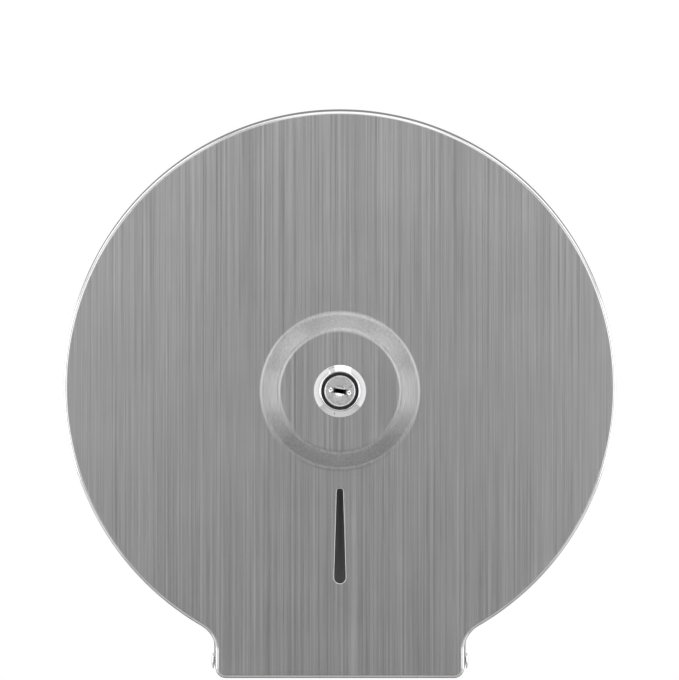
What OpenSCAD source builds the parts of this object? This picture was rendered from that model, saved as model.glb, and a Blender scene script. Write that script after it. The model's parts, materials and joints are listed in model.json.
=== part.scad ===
// Wall-mounted drum dispenser for one large toilet roll, in drawn stainless steel.
// Millimetres. The wall is the plane y = 0, the front faces -Y, +Z is up,
// and the drum's own axis runs along Y through the origin.

/* [Cover] */
// Outside radius of the drum where its side wall meets the rolled edge
drum_r = 134.9; // [128:0.1:142]
// Half width of the paper spout where its side wall meets the rolled edge
spout_half = 60.7; // [54:0.1:66]
// Height of the spout's straight side, between the hollow curve and the lower corner
spout_side = 8.39; // [6:0.01:14]
// Radius of the hollow curve between drum and spout
neck_r = 14; // [10:0.5:18]
// Radius of the spout's two lower corners
corner_r = 5; // [4:0.5:7]
// Distance from the wall to the flat face
face_depth = 110; // [104:0.5:125]
// How much the outline grows from the rolled edge back to the open rear edge
draft = 1.4; // [0.8:0.1:2]
// Outside radius of the rolled edge round the face
edge_r = 1.7; // [1.5:0.1:3]
// Thickness of the cover's sheet
cover_sheet = 1; // [0.8:0.1:1.2]
// Gap between the wall and the cover's rear edge
wall_gap = 2; // [1.6:0.1:3]
// Width of the lip turned in under the spout's front edge
lip_w = 6; // [4:0.5:10]

/* [Boss] */
// Radius of the raised round boss at its foot
boss_foot_r = 38; // [36:0.5:42]
// Radius of the boss's flat top
boss_top_r = 30.1; // [26:0.1:32]
// Height of the boss above the face
boss_h = 8; // [6:0.5:10]
// Radius of the hollow blend at the boss's foot, and of its inside top corner
boss_blend = 2; // [1:0.5:3]

/* [View slot] */
// Distance of the slot's upper end below the drum's axis
slot_top = 49.6; // [46:0.2:54]
// Length of the slot
slot_len = 46.2; // [36:0.2:50]
// Width at the upper end
slot_w_top = 3; // [2:0.1:4]
// Width at the lower end
slot_w_low = 5.5; // [4:0.1:7]

/* [Hinge] */
// Distance of the hinge pins from the wall
pin_depth = 9; // [8.5:0.1:11]
// Height of the hinge pins above the spout's lower edge
pin_rise = 6.2; // [5:0.1:6.6]
// Radius of a hinge pin's shank
pin_r = 2; // [1.6:0.1:2.4]
// Running clearance of a hinge pin in the cover
pin_fit = 0.05; // [0.03:0.01:0.08]
// Radius of a hinge pin's domed head
pin_head_r = 4; // [3.4:0.1:4.4]
// Height of a hinge pin's domed head
pin_head_h = 1.1; // [0.8:0.1:1.4]
// Space between the cover's side and the hinge bracket
hinge_space = 1; // [0.9:0.1:1.4]

/* [Back plate] */
// Thickness of the back plate's sheet
plate_sheet = 1; // [0.8:0.1:1.5]
// Gap between the cover's inside and the back plate's rim
rim_gap = 1.2; // [1:0.1:2]
// Depth of the rim, from the wall
rim_depth = 8; // [5:0.5:9]
// Angle below the horizontal at which the rim ends on each side
rim_end = 44; // [30:1:46]
// Sideways distance between the wall-screw holes
wall_hole_x = 120; // [100:1:130]
// Upright distance between the wall-screw holes
wall_hole_z = 120; // [100:1:130]
// Radius of a wall-screw hole
wall_hole_r = 2.75; // [2:0.05:3.5]
// Middle radius of the pressed stiffening ring
bead_r = 108; // [100:1:116]
// Width of the stiffening ring at its foot
bead_w = 12; // [8:0.5:14]
// Height of the stiffening ring
bead_h = 2; // [1:0.1:2.5]

/* [Hinge brackets and tear bars] */
// Thickness of a hinge bracket's sheet
bracket_sheet = 1.2; // [1:0.1:1.5]
// Height of a hinge bracket
bracket_h = 26; // [24:1:30]
// Width of a bracket's foot on the back plate
bracket_foot = 16; // [14:1:20]
// Reach of a bracket's ear out from the wall
bracket_reach = 26; // [24:1:34]
// Thickness of a tear bar
tear_sheet = 1; // [0.8:0.1:1.2]
// Height of a tear bar above the roots of its teeth
tear_h = 9; // [8:0.5:11]
// Pitch of the teeth
tooth_pitch = 4; // [3:0.5:6]
// Depth of the teeth
tooth_h = 2.4; // [1.5:0.1:3]
// Gap between the tear bars' front ends and the cover's front
tear_gap = 9; // [8:0.5:14]
// Radius of the small rivets
rivet_r = 1.6; // [1.2:0.1:1.8]

/* [Spindle] */
// Drop of the spindle's and the lock's axis below the drum's axis
axis_drop = 1.9; // [0:0.1:4]
// Outside radius of the spindle post
post_r = 16; // [15.8:0.1:17]
// Wall of the spindle post
post_wall = 2.2; // [1.8:0.1:2.4]
// Radius of the post's base flange
post_flange_r = 36; // [33:1:42]
// Thickness of the post's base flange
post_flange_t = 2; // [1.5:0.1:3]
// Thickness of the spacer behind the roller
spacer_t = 3; // [2.4:0.1:5]
// Thickness of the retaining ring and of its washer
ring_t = 1.2; // [0.8:0.1:1.5]
// Thickness of the strike plate at the post's front end
strike_t = 2; // [1.5:0.1:3]

/* [Core roller] */
// Outside radius of the roller that carries the roll's core
roller_r = 26.5; // [25:0.1:30]
// Running clearance of the roller on the post
roller_fit = 0.08; // [0.04:0.01:0.1]
// Wall of the roller's outer and inner sleeves
roller_wall = 2.4; // [1.8:0.1:2.6]
// Number of ribs between the sleeves
rib_count = 6; // [4:1:8]
// Radius of the disc that keeps the roll off the back plate
guide_r = 48; // [42:1:60]
// Thickness of that disc
guide_t = 2; // [1.5:0.1:3]

/* [Lock] */
// Radius of the lock's bevelled front flange
lock_flange_r = 12.8; // [12:0.1:15]
// Thickness of the lock's front flange
lock_flange_t = 2.2; // [1.6:0.1:3]
// Radius of the lock's barrel
barrel_r = 9.5; // [9.3:0.1:10.5]
// Distance across the barrel's two flats
barrel_flats = 16.6; // [16.4:0.1:17.6]
// Length of the barrel behind its flange
barrel_len = 17.4; // [15:0.2:22]
// Radius of the turning plug
plug_r = 7.6; // [7.2:0.1:7.8]
// Running clearance of the plug in the barrel
plug_fit = 0.08; // [0.04:0.01:0.1]
// Radius of the dark ring sunk round the plug's face
lock_ring_r = 9.15; // [8.8:0.05:9.3]
// Tilt of the keyway below the horizontal at its right end
key_tilt = 9; // [0:1:20]
// Length from the axis to the tip of the cam
cam_reach = 10.5; // [9:0.1:11]
// Width of the cam
cam_w = 9; // [8:0.1:9.4]
// Thickness of the cam
cam_t = 2; // [1.5:0.1:2.5]

/* [Hidden] */

$fn = 64;
small = 0.05;              // fit of pieces fixed to each other
past = 1;                  // how far a cut runs past a face
apart = 0.3;               // gap between pieces that move on each other
through = 10;              // depth of a rivet's hole through stacked sheets
steel = "silver";
bright = "gainsboro";

// Outline of the cover
neck_x = spout_half + neck_r;
neck_z = -sqrt(pow(drum_r + neck_r, 2) - pow(neck_x, 2));
neck_a = atan2(-neck_z, neck_x);
spout_drop = corner_r + spout_side - neck_z;
drum_steps = 96;
neck_steps = 6;
corner_steps = 5;
edge_steps = 4;
wall_front = edge_r - face_depth;
rear_half = spout_half + draft;

// Hinge
pin_y = -pin_depth;
pin_z = pin_rise - spout_drop;
pin_growth = draft * (-wall_front - pin_depth) / (-wall_front - wall_gap);
pin_wall_out = spout_half + pin_growth;
pin_wall_in = pin_wall_out - cover_sheet;
ear_out = pin_wall_in - hinge_space;
ear_in = ear_out - bracket_sheet;
pin_head_gap = 0.2;
pin_head_x = rear_half + pin_head_gap;
pin_tail_r = 3.2;
pin_tail_h = 1.2;
hinge_washer_r = 5;
hinge_washer_t = 0.6 * hinge_space;
swing_r = pin_depth - wall_gap;
pin_under = 3.5;
bracket_low = pin_z - pin_under;

// Back plate
plate_growth = draft - cover_sheet - rim_gap;
plate_r = drum_r + plate_growth;
plate_rise = 2.5;
plate_low = plate_rise - spout_drop;
tongue_lap = 6;
tongue_top = 0.7 * tongue_lap - sqrt(pow(plate_r - tongue_lap, 2) - pow(ear_out, 2));
foot_rivet_low = 2;
foot_rivet_pitch = 14;
foot_rivet_z = [pin_z + foot_rivet_low, pin_z + foot_rivet_low + foot_rivet_pitch];
foot_rivet_in = 5;
foot_rivet_x = ear_out - bracket_foot + foot_rivet_in;
foot_front = -plate_sheet - bracket_sheet;
ear_round = 4;
rivet_head_r = rivet_r + 1.5;
rivet_head_h = 1.4;

// Tear bars
tear_out = ear_in;
tear_root_drop = 1;
tear_root = pin_z - tear_root_drop;
tear_front = tear_gap - face_depth;
tear_rear_gap = 2;
tear_rear = foot_front - tear_rear_gap;
tear_rivet_down = 3.5;
tear_rivet_z = tear_root + tear_h - tear_rivet_down;
tear_rivet_at = 8;
tear_rivet_pitch = 6;
tear_rivet_y = [pin_y - tear_rivet_at, pin_y - tear_rivet_at - tear_rivet_pitch];
tear_head_r = rivet_r + 1;
tear_head_h = 1;
teeth = floor((tear_rear - tear_front) / tooth_pitch);

// Spindle
post_in = post_r - post_wall;
boss_front = -face_depth - boss_h;
barrel_end = boss_front + barrel_len;
strike_gap = 1.6;
strike_front = barrel_end + strike_gap;
post_end = strike_front + strike_t;
groove_y = post_end + 1;
groove_deep = 0.9;
ring_w = 4;
ring_gap = 0.2;
washer_y = groove_y + ring_t + ring_gap;
washer_w = 5;
roller_front = washer_y + ring_t + apart;
flange_front = -plate_sheet - post_flange_t;
roller_rear = flange_front - spacer_t - apart;
post_rivet_in = 8;
post_rivet_at = post_flange_r - post_rivet_in;
ring_open = 6;
skirt_t = 0.9;
skirt_len = 0.8;

// Roller
roller_in = post_r + roller_fit;
sleeve_r = roller_in + roller_wall;
rim_r = roller_r - roller_wall;
rib_t = 1.6;
guide_seat = 1.6;
nose = 2;
nose_step = 0.6;
nose_rise = 0.8;
web_t = 2;
sunk = 0.6;
roller_len = roller_rear - roller_front;

// Lock
lock_front = boss_front - lock_flange_t;
plug_sunk = 0.3;
plug_face = lock_front + plug_sunk;
flange_foot = 0.4 * lock_flange_t;
bevel_out = 1.2;
bevel_in = 1.8;
bevel_drop = 0.2;
ring_deep = 1.8;
barrel_sunk = 0.5;
nut_t = 3.5;
lock_washer_t = 0.8;
lock_washer_w = 3.5;
nut_flats = 24;
cam_gap = 1.2;
cam_front = post_end + cam_gap;
cam_rear = cam_front + cam_t;
tail_w = 5;
tail_short = 0.3;
tail_rear = cam_rear - tail_short;
slot_clear = 0.5;
cam_washer_t = 0.8;
screw_head_r = 4;
screw_head_h = 2.2;
screw_r = 2;
screw_len = 8;
cross_len = 4.4;
cross_w = 2.4;
cross_deep = 0.45;
swing_slope = (pin_depth - cam_front - 2 * pin_depth) / (-axis_drop - pin_z);
exit_spare = 1;
exit_travel = screw_head_h + cam_washer_t + cam_t + cam_gap + strike_t + exit_spare;
strike_low = cam_w / 2 + exit_travel * abs(swing_slope);
wafer_t = 1;
wafer_w = 5.4;
wafer_h = 14;
wafer_count = 4;
wafer_pitch = 2.8;
wafer_at = 3;
wafer_ring = 1;
key_w = 5.9;
key_h = 2.2;
key_deep = 16;
recess_len = 8.2;
recess_w = 2.7;
recess_r = 2.7;
recess_deep = 0.9;

// Distance from the wall to the front of a wafer, the first one nearest the key's mouth
function wafer_y(i) = plug_face + wafer_at + i * wafer_pitch;

// Points on an arc about c, from angle a0 to a1, without the first and last few
function arc_points(c, r, a0, a1, n, skip = 0) =
    [for (i = [skip:n - skip]) c + r * [cos(a0 + (a1 - a0) * i / n), sin(a0 + (a1 - a0) * i / n)]];

// The cover's outline in X and Z, grown outwards by g
function outline(g) = concat(
    arc_points([spout_half - corner_r, corner_r - spout_drop], corner_r + g, -90, 0, corner_steps),
    arc_points([neck_x, neck_z], neck_r - g, 180, 180 - neck_a, neck_steps),
    arc_points([0, 0], drum_r + g, -neck_a, 180 + neck_a, drum_steps, 1),
    arc_points([-neck_x, neck_z], neck_r - g, neck_a, 0, neck_steps),
    arc_points([corner_r - spout_half, corner_r - spout_drop], corner_r + g, 180, 270, corner_steps));

// Depth and growth of each section of a skin t inside the outer one, rear end first
function skin(t, rear) = concat(
    [[rear, draft * (rear - wall_front) / (-wall_gap - wall_front) - t]],
    [for (i = [0:edge_steps])
        let (a = 90 * i / edge_steps, r = edge_r - t)
        [wall_front - r * sin(a), -edge_r + r * cos(a)]]);

// Points that round the corner p of a profile, between headings a_in and a_out
function blend(p, a_in, a_out, r, n = 3) =
    let (turn = a_out - a_in,
         side = sign(turn),
         start = p - r * tan(abs(turn) / 2) * [cos(a_in), sin(a_in)],
         centre = start + side * r * [-sin(a_in), cos(a_in)])
    [for (i = [0:n]) centre + side * r * [sin(a_in + turn * i / n), -cos(a_in + turn * i / n)]];

// The boss's skin, t below the outer one, as radius and height above the face
boss_slope = atan2(boss_h, boss_foot_r - boss_top_r);
function boss_skin(t) =
    let (s = t * tan(boss_slope / 2))
    concat(
        blend([boss_foot_r - s, -t], 180, 180 - boss_slope, boss_blend + t),
        blend([boss_top_r - s, boss_h - t], 180 - boss_slope, 180, boss_blend + cover_sheet - t));

// Solid lofted through sections of the outline. Each end is closed by strips that
// join a point on the right to its mirror image on the left.
module loft(sections) {
    rings = [for (s = sections) [for (p = outline(s[1])) [p[0], s[0], p[1]]]];
    n = len(rings[0]);
    m = len(rings);
    points = [for (ring = rings) each ring];
    sides = [for (k = [0:m - 2], i = [0:n - 1])
        let (j = (i + 1) % n)
        each [[k * n + i, (k + 1) * n + i, (k + 1) * n + j], [k * n + i, (k + 1) * n + j, k * n + j]]];
    ends = [for (i = [0:(n - 3) / 2])
        let (front = (m - 1) * n, last = n - 1 - i)
        each [[i, i + 1, last], [front + i + 1, front + i, front + last],
              if (i + 1 < last - 1) each [[i + 1, last - 1, last],
                                          [front + last - 1, front + i + 1, front + last]]]];
    polyhedron(points, concat(ends, sides));
}

// A cylinder along Y, from y0 to y1 and at x, z
module rod(r, y0, y1, x = 0, z = 0) {
    translate([x, max(y0, y1), z])
        rotate([90, 0, 0])
            cylinder(r = r, h = abs(y1 - y0));
}

// A cylinder along X, from x0 to x1, on the hinge's axis unless told otherwise
module cross_rod(r, x0, x1, y = pin_y, z = pin_z) {
    translate([min(x0, x1), y, z])
        rotate([0, 90, 0])
            cylinder(r = r, h = abs(x1 - x0));
}

// A 2-D shape in X and Z, made solid from y0 to y1
module slab(y0, y1) {
    translate([0, max(y0, y1), 0])
        rotate([90, 0, 0])
            linear_extrude(abs(y1 - y0))
                children();
}

// A profile of radius and distance towards the front, turned round an axis along Y
module turned(y = 0, z = 0) {
    translate([0, y, z])
        rotate([90, 0, 0])
            rotate_extrude()
                children();
}

// A low dome of radius r and height h, standing on the XY plane
module dome(r, h) {
    ball = (r * r + h * h) / (2 * h);
    intersection() {
        translate([0, 0, h - ball])
            sphere(r = ball);
        cylinder(r = r + past, h = h + past);
    }
}

// A rivet along Y: head at the front on y, shank back to the wall
module plate_rivet(x, z, y) {
    rod(rivet_r, y, 0, x, z);
    translate([x, y, z])
        rotate([90, 0, 0])
            dome(rivet_head_r, rivet_head_h);
}

module foot_rivet_holes(r) {
    for (side = [-1, 1], z = foot_rivet_z)
        rod(r, past, -through, side * foot_rivet_x, z);
}

module post_rivet_holes(r) {
    for (a = [45:90:315])
        rod(r, past, -through, post_rivet_at * cos(a), post_rivet_at * sin(a) - axis_drop);
}

// Round pan as radius and distance from the wall: sheet, stiffening ring and rim
module pan_section() {
    foot = bead_w / 2;
    groove = foot - plate_sheet;
    polygon([[0, 0], [bead_r - groove, 0], [bead_r - groove + bead_h, bead_h],
             [bead_r + groove - bead_h, bead_h], [bead_r + groove, 0],
             [plate_r, 0], [plate_r, rim_depth], [plate_r - plate_sheet, rim_depth],
             [plate_r - plate_sheet, plate_sheet], [bead_r + foot, plate_sheet],
             [bead_r + foot - bead_h, plate_sheet + bead_h],
             [bead_r - foot + bead_h, plate_sheet + bead_h],
             [bead_r - foot, plate_sheet], [0, plate_sheet]]);
}

module back_plate() {
    open_z = -plate_r * sin(rim_end);
    color(steel)
    difference() {
        union() {
            difference() {
                turned()
                    pan_section();
                // The rim stops above the spout
                difference() {
                    translate([-plate_r, -rim_depth - past, -plate_r - past])
                        cube([2 * plate_r, rim_depth + past - plate_sheet, open_z + plate_r + past]);
                    rod(plate_r - 2 * plate_sheet, past, -rim_depth - 2 * past);
                }
            }
            // Flat tongue of sheet down into the spout, joined to the pan's outer edge
            difference() {
                translate([-ear_out, -plate_sheet, plate_low])
                    cube([2 * ear_out, plate_sheet, tongue_top - plate_low]);
                rod(plate_r - tongue_lap, past, -plate_sheet - past);
            }
        }
        for (x = [-0.5, 0.5], z = [-0.5, 0.5])
            rod(wall_hole_r, past, -through, x * wall_hole_x, z * wall_hole_z);
        foot_rivet_holes(rivet_r + small);
        post_rivet_holes(rivet_r + small);
    }
}

// Side view of a bracket's ear, in Y and Z, with its free corners rounded
module ear_section() {
    difference() {
        translate([-plate_sheet - bracket_reach, bracket_low])
            square([bracket_reach, bracket_h]);
        for (end = [0, 1])
            translate([-plate_sheet - bracket_reach, bracket_low + end * bracket_h])
                mirror([0, end])
                    difference() {
                        translate([-past, -past])
                            square(ear_round + past);
                        translate([ear_round, ear_round])
                            circle(r = ear_round);
                    }
    }
}

// L-shaped bracket: a foot on the back plate, and an ear that carries the hinge pin
module hinge_bracket(side) {
    color(bright)
    difference() {
        union() {
            translate([side > 0 ? ear_out - bracket_foot : -ear_out, foot_front, bracket_low])
                cube([bracket_foot, bracket_sheet, bracket_h]);
            translate([side > 0 ? ear_in : -ear_out, 0, 0])
                rotate([90, 0, 90])
                    linear_extrude(bracket_sheet)
                        ear_section();
        }
        cross_rod(pin_r + small, side * (ear_in - past), side * (ear_out + past));
        for (y = tear_rivet_y)
            cross_rod(rivet_r + small, side * (ear_in - past), side * (ear_out + past), y, tear_rivet_z);
        foot_rivet_holes(rivet_r + small);
    }
}

module hinge_bracket_left() { hinge_bracket(-1); }
module hinge_bracket_right() { hinge_bracket(1); }

module bracket_rivets() {
    color(bright)
    for (side = [-1, 1], z = foot_rivet_z)
        plate_rivet(side * foot_rivet_x, z, foot_front);
}

// Saw-edged strip along one side of the paper exit
module tear_bar(side) {
    color(bright)
    difference() {
        translate([side > 0 ? tear_out - tear_sheet : -tear_out, 0, 0])
            rotate([90, 0, 90])
                linear_extrude(tear_sheet)
                    polygon(concat(
                        [[tear_rear, tear_root + tear_h], [tear_front, tear_root + tear_h],
                         [tear_front, tear_root]],
                        [for (i = [0:teeth - 1]) each [
                            [tear_front + (i + 0.5) * tooth_pitch, tear_root - tooth_h],
                            [tear_front + (i + 1) * tooth_pitch, tear_root]]],
                        [[tear_rear, tear_root]]));
        cross_rod(pin_tail_r + apart, side * (ear_in - through), side * (ear_in + past));
        for (y = tear_rivet_y)
            cross_rod(rivet_r + small, side * (ear_in - through), side * (ear_in + past), y, tear_rivet_z);
    }
}

module tear_bar_left() { tear_bar(-1); }
module tear_bar_right() { tear_bar(1); }

module tear_bar_rivets() {
    color(bright)
    for (side = [-1, 1], y = tear_rivet_y) {
        cross_rod(rivet_r, side * (tear_out - tear_sheet), side * ear_out, y, tear_rivet_z);
        translate([side * (tear_out - tear_sheet), y, tear_rivet_z])
            rotate([0, -side * 90, 0])
                dome(tear_head_r, tear_head_h);
    }
}

module spindle_post() {
    color(steel)
    difference() {
        turned(0, -axis_drop)
            difference() {
                union() {
                    translate([0, plate_sheet])
                        square([post_flange_r, post_flange_t]);
                    translate([0, plate_sheet])
                        square([post_r, -post_end - plate_sheet]);
                }
                translate([-past, plate_sheet + post_flange_t])
                    square([post_in + past, -post_end]);
                translate([post_r - groove_deep, -groove_y - ring_t - small])
                    square([groove_deep + past, ring_t + 2 * small]);
            }
        post_rivet_holes(rivet_r + small);
    }
}

module post_rivets() {
    color(bright)
    for (a = [45:90:315])
        plate_rivet(post_rivet_at * cos(a), post_rivet_at * sin(a) - axis_drop, flange_front);
}

// Cap on the post's end: the cam passes its upright slot and turns behind it
module strike_plate() {
    color(bright)
    difference() {
        union() {
            rod(post_r, strike_front, post_end, 0, -axis_drop);
            rod(post_in - small, post_end, post_end + skirt_len, 0, -axis_drop);
        }
        rod(post_in - small - skirt_t, post_end, post_end + skirt_len + past, 0, -axis_drop);
        translate([-cam_w / 2 - slot_clear, strike_front - past, -axis_drop - strike_low])
            cube([cam_w + 2 * slot_clear, strike_t + 2 * past, strike_low + cam_reach + slot_clear]);
    }
}

module flat_ring(inner, outer, y, t, z = -axis_drop) {
    difference() {
        rod(outer, y, y + t, 0, z);
        rod(inner, y - past, y + t + past, 0, z);
    }
}

module roller_spacer() {
    color("white")
        flat_ring(post_r + small, post_r + washer_w, flange_front - spacer_t, spacer_t);
}

module front_washer() {
    color("white")
        flat_ring(post_r + small, post_r + washer_w, washer_y, ring_t);
}

// Snap ring, open at the bottom, sprung into the post's groove
module retaining_ring() {
    color(steel)
    difference() {
        flat_ring(post_r - groove_deep + small, post_r - groove_deep + ring_w, groove_y, ring_t);
        translate([-ring_open / 2, groove_y - past, -axis_drop - post_r - ring_w])
            cube([ring_open, ring_t + 2 * past, 2 * ring_w]);
    }
}

// Domed pin through the cover's side, the washer and the ear, headed over on the inside
module hinge_pin(side) {
    color(bright) {
        cross_rod(pin_r, side * (ear_in - pin_tail_h), side * (pin_head_x + small));
        translate([side * pin_head_x, pin_y, pin_z])
            rotate([0, side * 90, 0])
                dome(pin_head_r, pin_head_h);
        cross_rod(pin_tail_r, side * (ear_in - pin_tail_h), side * ear_in);
    }
}

module hinge_pin_left() { hinge_pin(-1); }
module hinge_pin_right() { hinge_pin(1); }

module hinge_washer(side) {
    color("white")
    difference() {
        cross_rod(hinge_washer_r, side * ear_out, side * (ear_out + hinge_washer_t));
        cross_rod(pin_r + small, side * (ear_out - past), side * (ear_out + hinge_washer_t + past));
    }
}

module hinge_washer_left() { hinge_washer(-1); }
module hinge_washer_right() { hinge_washer(1); }

// Two sleeves, a middle web and ribs, with a rounded nose for the roll's core
module core_roller() {
    color("dimgray")
    translate([0, roller_rear, -axis_drop])
        rotate([90, 0, 0]) {
            rotate_extrude() {
                translate([roller_in, 0])
                    square([roller_wall, roller_len]);
                polygon([[rim_r, guide_t], [rim_r, 0], [roller_r - guide_seat, 0],
                         [roller_r - guide_seat, guide_t], [roller_r, guide_t],
                         [roller_r, roller_len - nose], [roller_r - nose_step, roller_len - nose_rise],
                         [roller_r - nose, roller_len], [rim_r, roller_len]]);
                translate([sleeve_r - sunk, (roller_len - web_t) / 2])
                    square([rim_r - sleeve_r + 2 * sunk, web_t]);
            }
            for (i = [0:rib_count - 1])
                rotate([0, 0, 360 * i / rib_count])
                    translate([sleeve_r - sunk, -rib_t / 2, guide_t])
                        cube([rim_r - sleeve_r + 2 * sunk, rib_t, roller_len - guide_t - nose]);
        }
}

module roll_guide() {
    color("dimgray")
        flat_ring(roller_r - guide_seat + small, guide_r, roller_rear - guide_t, guide_t);
}

module view_slot() {
    slab(past - face_depth, -face_depth - past) {
        translate([0, -slot_top - slot_w_top / 2])
            circle(d = slot_w_top);
        translate([0, -slot_top - slot_len + slot_w_low / 2])
            circle(d = slot_w_low);
        polygon([[-slot_w_top / 2, -slot_top - slot_w_top / 2],
                 [slot_w_top / 2, -slot_top - slot_w_top / 2],
                 [slot_w_low / 2, -slot_top - slot_len + slot_w_low / 2],
                 [-slot_w_low / 2, -slot_top - slot_len + slot_w_low / 2]]);
    }
}

// Hole with two flats for the lock's barrel, or the barrel's own section
module barrel_section(clear) {
    intersection() {
        circle(r = barrel_r + clear);
        square([barrel_flats + 2 * clear, 3 * barrel_r], center = true);
    }
}

// Paper exit: the bottom of the spout, open behind the front lip
module paper_exit() {
    margin = cover_sheet + apart;
    translate([0, 0, -spout_drop - corner_r])
        linear_extrude(2 * corner_r)
            polygon([[-rear_half + margin, past], [rear_half - margin, past],
                     [spout_half - margin, lip_w - face_depth],
                     [margin - spout_half, lip_w - face_depth]]);
}

// Rounds the side walls' lower rear corners about the pins, to clear the wall in the swing
module swing_corner() {
    translate([-rear_half - past, 0, 0])
        rotate([90, 0, 90])
            linear_extrude(2 * rear_half + 2 * past)
                difference() {
                    translate([pin_y, pin_z - 2 * swing_r])
                        square([2 * swing_r, 2 * swing_r]);
                    translate([pin_y, pin_z])
                        circle(r = swing_r);
                }
}

module front_cover() {
    color("silver")
    difference() {
        union() {
            loft(skin(0, -wall_gap));
            turned(-face_depth, -axis_drop)
                polygon(concat([[0, -cover_sheet / 2]],
                    [[boss_skin(0)[0][0], -cover_sheet / 2]], boss_skin(0), [[0, boss_h]]));
        }
        loft(skin(cover_sheet, past - wall_gap));
        turned(-face_depth, -axis_drop)
            polygon(concat([[0, -cover_sheet - past]],
                [[boss_skin(cover_sheet)[0][0], -cover_sheet - past]], boss_skin(cover_sheet),
                [[0, boss_h - cover_sheet]]));
        translate([0, 0, -axis_drop])
            slab(boss_front - past, boss_front + cover_sheet + past)
                barrel_section(2 * small);
        view_slot();
        paper_exit();
        swing_corner();
        cross_rod(pin_r + pin_fit, -rear_half - past, rear_half + past);
    }
}

module lock_barrel() {
    color("white")
    difference() {
        union() {
            turned(boss_front, -axis_drop)
                polygon([[0, 0], [lock_flange_r, 0], [lock_flange_r, flange_foot],
                         [lock_flange_r - bevel_out, lock_flange_t - bevel_drop],
                         [lock_flange_r - bevel_in, lock_flange_t], [0, lock_flange_t]]);
            translate([0, 0, -axis_drop])
                slab(boss_front - barrel_sunk, barrel_end)
                    barrel_section(0);
        }
        rod(plug_r + plug_fit, lock_front - past, barrel_end + past, 0, -axis_drop);
        rod(lock_ring_r, lock_front - past, lock_front + ring_deep, 0, -axis_drop);
    }
}

module lock_washer() {
    color(steel)
        flat_ring(barrel_r + 2 * small, barrel_r + 2 * small + lock_washer_w,
                  boss_front + cover_sheet, lock_washer_t);
}

module lock_nut() {
    back = boss_front + cover_sheet + lock_washer_t;
    color(steel)
    difference() {
        translate([0, back + nut_t, -axis_drop])
            rotate([90, 0, 0])
                cylinder(d = nut_flats / cos(30), h = nut_t, $fn = 6);
        rod(barrel_r + 2 * small, back - past, back + nut_t + past, 0, -axis_drop);
    }
}

// Turns its children about the lock's axis, by the keyway's tilt
module keyed() {
    translate([0, 0, -axis_drop])
        rotate([0, key_tilt, 0])
            children();
}

module lock_plug() {
    color("lightgray")
    difference() {
        union() {
            rod(plug_r, plug_face, barrel_end, 0, -axis_drop);
            translate([-tail_w / 2, barrel_end - barrel_sunk, -axis_drop - tail_w / 2])
                cube([tail_w, tail_rear - barrel_end + barrel_sunk, tail_w]);
        }
        keyed() {
            // Shallow recess with a round middle, inside the face's raised rim
            slab(plug_face - past, plug_face + recess_deep) {
                square([recess_len, recess_w], center = true);
                for (x = [-0.5, 0.5])
                    translate([x * recess_len, 0])
                        circle(d = recess_w);
                circle(r = recess_r);
            }
            slab(plug_face - past, plug_face + key_deep)
                square([key_w, key_h], center = true);
            for (i = [0:wafer_count - 1])
                translate([-wafer_w / 2 - small, wafer_y(i) - small, -plug_r - past])
                    cube([wafer_w + 2 * small, wafer_t + 2 * small, 2 * (plug_r + past)]);
        }
        rod(screw_r + small, tail_rear - screw_len - past, tail_rear + past, 0, -axis_drop);
    }
}

module lock_wafers() {
    color("gold")
    keyed()
        for (i = [0:wafer_count - 1])
            difference() {
                translate([-wafer_w / 2, wafer_y(i), -wafer_h / 2])
                    cube([wafer_w, wafer_t, wafer_h]);
                translate([wafer_ring - key_w / 2, wafer_y(i) - past, -key_h])
                    cube([key_w - 2 * wafer_ring, wafer_t + 2 * past, 2 * key_h]);
            }
}

// Flat arm with a square hole, upright while the lock is open
module lock_cam() {
    color(steel)
    translate([0, 0, -axis_drop])
        slab(cam_front, cam_rear)
            difference() {
                union() {
                    circle(d = cam_w);
                    translate([-cam_w / 2, 0])
                        square([cam_w, cam_reach - cam_w / 2]);
                    intersection() {
                        circle(r = cam_reach);
                        translate([-cam_w / 2, 0])
                            square([cam_w, cam_reach]);
                    }
                }
                square(tail_w + 2 * small, center = true);
            }
}

module cam_washer() {
    color(steel)
        flat_ring(screw_r + small, cam_w / 2, cam_rear, cam_washer_t);
}

module cam_screw() {
    head = cam_rear + cam_washer_t;
    color(bright)
    difference() {
        union() {
            rod(screw_r, tail_rear - screw_len, head, 0, -axis_drop);
            rod(screw_head_r, head, head + screw_head_h, 0, -axis_drop);
        }
        for (turn = [0, 90])
            translate([0, head + screw_head_h, -axis_drop])
                rotate([0, turn, 0])
                    cube([cross_len, cross_w, 2 * cross_deep], center = true);
    }
}

back_plate();
hinge_bracket_left();
hinge_bracket_right();
bracket_rivets();
tear_bar_left();
tear_bar_right();
tear_bar_rivets();
spindle_post();
post_rivets();
strike_plate();
roller_spacer();
front_washer();
retaining_ring();
hinge_pin_left();
hinge_pin_right();
hinge_washer_left();
hinge_washer_right();
core_roller();
roll_guide();
front_cover();
lock_barrel();
lock_washer();
lock_nut();
lock_plug();
lock_wafers();
lock_cam();
cam_washer();
cam_screw();
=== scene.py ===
# %% [markdown]
# # A wall-mounted dispenser for a large toilet roll
#
# The object is a drum of brushed stainless steel with a spout at the bottom for the paper. Its
# front is a cover that swings down on two domed pins, and a cam lock in the middle holds it shut.
# The construction is already packed as solid parts. This lesson loads them, keeps them where they
# are, and gives each one its final surface: the parts that show most are modelled again here with
# rounder edges, and the rest get softened edges and better materials.

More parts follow.
